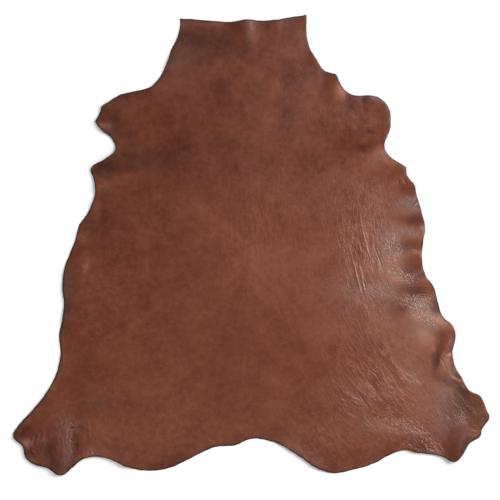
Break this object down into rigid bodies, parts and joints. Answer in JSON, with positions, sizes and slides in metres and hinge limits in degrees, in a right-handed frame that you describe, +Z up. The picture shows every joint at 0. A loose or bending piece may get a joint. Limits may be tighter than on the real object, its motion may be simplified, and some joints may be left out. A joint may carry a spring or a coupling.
{
  "type": "leather hide",
  "caption": "Whole leather hide laid out flat, grain side up: one thin sheet of uneven animal-skin outline with neck, foreleg and hind leg lobes and a softly rippled edge.",
  "frame": {"origin": "under the middle of the hide's outline, on the plane that it rests on", "axes": "+X across the hide, +Y along the back from the tail end to the neck, +Z up from the grain side"},
  "size_m": [0.9513, 0.9194, 0.0107],
  "materials": {
    "leather": "reddish brown aniline leather, mottled, satin grain with a soft sheen"
  },
  "bodies": {
    "root": {"hide": "leather"}
  },
  "joints": []
}
